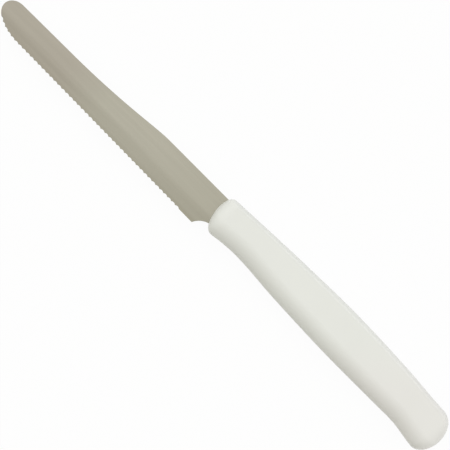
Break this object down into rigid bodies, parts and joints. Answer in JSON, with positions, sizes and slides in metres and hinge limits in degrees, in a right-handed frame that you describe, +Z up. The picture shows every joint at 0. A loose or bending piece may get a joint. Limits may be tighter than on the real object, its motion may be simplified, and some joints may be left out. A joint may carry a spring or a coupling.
{
  "type": "table knife",
  "caption": "Table knife with a round-tipped serrated steel blade fixed in a plain white moulded handle that swells towards a hooked butt.",
  "frame": {"origin": "middle of the bounding box's underside, on the surface that the knife lies on", "axes": "the knife lies on its side: +X towards the blade's tip, +Y towards the cutting edge, +Z up through the handle's flat sides"},
  "size_m": [0.22, 0.0202, 0.0115],
  "materials": {
    "steel": "satin",
    "plastic": "satin"
  },
  "bodies": {
    "root": {"blade": "steel", "handle": "plastic"}
  },
  "joints": []
}
